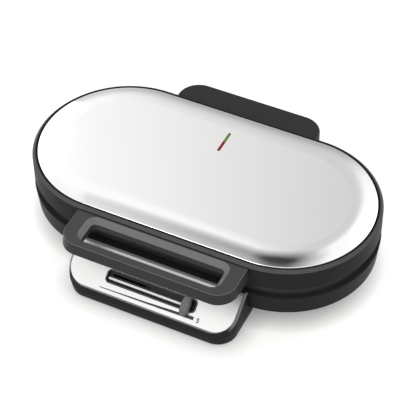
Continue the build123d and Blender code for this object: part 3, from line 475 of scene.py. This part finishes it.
def finish_piece(name, mesh, material, body):
    """Makes an object of a mesh that is already in place, and lets it ride on a body."""
    mesh.materials.clear()
    mesh.materials.append(material)
    piece = bpy.data.objects.new(name, mesh)
    bpy.context.scene.collection.objects.link(piece)
    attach(piece, body)
    print(name, len(mesh.polygons), "faces")
    return piece


def flat_mark(name, outline):
    """A thin plate with the given outline, in millimetres on the slope."""
    form = bmesh.new()
    low = [form.verts.new((x, y, INK_LIFT)) for x, y in outline]
    face = form.faces.new(low)
    raised = bmesh.ops.extrude_face_region(form, geom=[face])
    top = [v for v in raised["geom"] if isinstance(v, bmesh.types.BMVert)]
    bmesh.ops.translate(form, verts=top, vec=(0, 0, INK_HEIGHT))
    bmesh.ops.recalc_face_normals(form, faces=form.faces)
    bmesh.ops.transform(form, matrix=on_slope, verts=form.verts)
    mesh = bpy.data.meshes.new(name)
    form.to_mesh(mesh)
    form.free()
    return mesh


# %% The wedge, as places across with their lowest and highest points, and the number
WEDGE = [(-57.6, 5.6, 6.4), (0, 5.9, 7.9), (55.7, 6.6, 10.4)]
NUMBER, NUMBER_SIZE, NUMBER_WEIGHT, NUMBER_AT = "5", 7.0, 0.24, (59.2, 5.6)

outline = [(x, low) for x, low, high in WEDGE] + [(x, high) for x, low, high in reversed(WEDGE)]
finish_piece("scale_wedge", flat_mark("scale_wedge", outline), ink, "base")

number = bpy.data.curves.new("scale_number", "FONT")
number.body = NUMBER
number.size = NUMBER_SIZE
number.extrude = INK_HEIGHT / 2
number.offset = NUMBER_WEIGHT
figure = bpy.data.objects.new("scale_number_curve", number)
bpy.context.scene.collection.objects.link(figure)
bpy.context.view_layer.update()
figure_mesh = bpy.data.meshes.new_from_object(
    figure.evaluated_get(bpy.context.evaluated_depsgraph_get()))
bpy.data.objects.remove(figure)
figure_mesh.transform(on_slope @ Matrix.Translation((*NUMBER_AT, INK_LIFT + INK_HEIGHT / 2)))
figure_mesh.name = "scale_number"
finish_piece("scale_number", figure_mesh, ink, "base")

# %% [markdown]
# ## A bead round the slot and ridges on the knob
#
# The slot's frame has a raised bead that catches the light, and the knob's low end has small
# ridges for the finger. The bead is one tube along a rounded rectangle, and the ridges are one
# bent bar repeated across the knob. Both could be modelled by hand, but Geometry Nodes suit them:
# the tree says the rule once, and its inputs are the real sizes in millimetres.

# %% Helpers for Geometry Nodes


def new_tree(name, **sizes):
    """An empty tree with number inputs, a material input, and one geometry output."""
    group = bpy.data.node_groups.new(name, "GeometryNodeTree")
    for label, value in sizes.items():
        kind = "NodeSocketInt" if isinstance(value, int) else "NodeSocketFloat"
        socket = group.interface.new_socket(
            name=label.replace("_", " "), in_out="INPUT", socket_type=kind)
        socket.default_value = value
    group.interface.new_socket(name="Finish", in_out="INPUT", socket_type="NodeSocketMaterial")
    group.interface.new_socket(name="Geometry", in_out="OUTPUT", socket_type="NodeSocketGeometry")
    return group, group.nodes.new("NodeGroupInput").outputs


def end_tree(group, geometry, finish):
    """Realizes what the tree made, gives it its material and sends it out."""
    real = wire(group, "GeometryNodeRealizeInstances", Geometry=geometry)
    dressed = wire(group, "GeometryNodeSetMaterial", Geometry=real.outputs[0], Material=finish)
    wire(group, "NodeGroupOutput", Geometry=dressed.outputs[0])


def grow(group, finish):
    """Runs a tree on an empty mesh and returns the plain mesh."""
    holder = bpy.data.objects.new(group.name, bpy.data.meshes.new(group.name + "_seed"))
    bpy.context.scene.collection.objects.link(holder)
    modifier = holder.modifiers.new("grow", "NODES")
    modifier.node_group = group
    for item in group.interface.items_tree:
        if item.in_out == "INPUT":
            modifier[item.identifier] = finish if item.name == "Finish" else item.default_value
    bpy.context.view_layer.update()
    mesh = bpy.data.meshes.new_from_object(
        holder.evaluated_get(bpy.context.evaluated_depsgraph_get()))
    bpy.data.objects.remove(holder)
    mesh.name = group.name
    return mesh


# %% Bead round the slot
# The frame's outer edge and the bead's distance inside it, in millimetres on the slope.
SLOT_HALF, SLOT_LOW, SLOT_HIGH, SLOT_CORNER, FLANGE_TOP = 54.7, 12.9, 28.7, 5.0, 0.6
BEAD_IN = 0.95
TUBE_RADIUS, TUBE_SIDES, CORNER_STEPS = 0.42, 10, 10

group, given = new_tree(
    "slot_bead", Length=2 * (SLOT_HALF - BEAD_IN), Width=SLOT_HIGH - SLOT_LOW - 2 * BEAD_IN,
    Corner=SLOT_CORNER - BEAD_IN, Radius=TUBE_RADIUS)
path = wire(
    group, "GeometryNodeCurvePrimitiveQuadrilateral", Width=given["Length"], Height=given["Width"])
soft_path = group.nodes.new("GeometryNodeFilletCurve")
soft_path.mode = "POLY"
group.links.new(path.outputs[0], soft_path.inputs["Curve"])
group.links.new(given["Corner"], soft_path.inputs["Radius"])
soft_path.inputs["Count"].default_value = CORNER_STEPS
tube = wire(
    group, "GeometryNodeCurvePrimitiveCircle", Resolution=TUBE_SIDES, Radius=given["Radius"])
bead = wire(
    group, "GeometryNodeCurveToMesh", Curve=soft_path.outputs[0], Profile_Curve=tube.outputs[0])
end_tree(group, bead.outputs[0], given["Finish"])
bead_grey = surface("bead_grey", (0.10, 0.10, 0.10), 0.4, mottle=0.1)
bead_mesh = grow(group, bead_grey)
bead_mesh.transform(on_slope @ Matrix.Translation((0, (SLOT_LOW + SLOT_HIGH) / 2, FLANGE_TOP)))
finish_piece("slot_bead", bead_mesh, bead_grey, "base")

# %% Ridges on the knob
# Each ridge rises by DROP at the knob's low end, bends at the edge and runs on by RUN on the top.
KNOB_X, KNOB_LOW, KNOB_TOP = 43.7, 7.0, 8.1
RIDGES, SPACING, RUN, DROP = 4, 1.5, 5.5, 5.0
BEND, BEND_STEPS = 0.6, 12

group, given = new_tree(
    "knob_ridges", Count=RIDGES, Spacing=SPACING, Radius=TUBE_RADIUS, Run=RUN, Drop=DROP)
row = group.nodes.new("GeometryNodeMeshLine")
group.links.new(given["Count"], row.inputs["Count"])
step = wire(group, "ShaderNodeCombineXYZ", X=given["Spacing"])
group.links.new(step.outputs[0], row.inputs["Offset"])
bar = group.nodes.new("GeometryNodeCurvePrimitiveBezierSegment")
bar.inputs["Resolution"].default_value = BEND_STEPS
foot = wire(group, "ShaderNodeMath", Value=given["Drop"])
foot.operation = "MULTIPLY"
foot.inputs[1].default_value = -1.0
start = wire(group, "ShaderNodeCombineXYZ", Z=foot.outputs[0])
group.links.new(start.outputs[0], bar.inputs["Start"])
bar.inputs["Start Handle"].default_value = (0, 0, -BEND)
bar.inputs["End Handle"].default_value = (0, BEND, 0)
end = wire(group, "ShaderNodeCombineXYZ", Y=given["Run"])
group.links.new(end.outputs[0], bar.inputs["End"])
tube = wire(
    group, "GeometryNodeCurvePrimitiveCircle", Resolution=TUBE_SIDES, Radius=given["Radius"])
ridge = wire(
    group, "GeometryNodeCurveToMesh", Curve=bar.outputs[0], Profile_Curve=tube.outputs[0],
    Fill_Caps=True)
rows = wire(
    group, "GeometryNodeInstanceOnPoints", Points=row.outputs[0], Instance=ridge.outputs[0])
end_tree(group, rows.outputs[0], given["Finish"])
ridge_mesh = grow(group, knob_grey)
first_ridge = KNOB_X - (RIDGES - 1) / 2 * SPACING
ridge_mesh.transform(on_slope @ Matrix.Translation((first_ridge, KNOB_LOW, KNOB_TOP)))
finish_piece("knob_ridges", ridge_mesh, knob_grey, "slider")
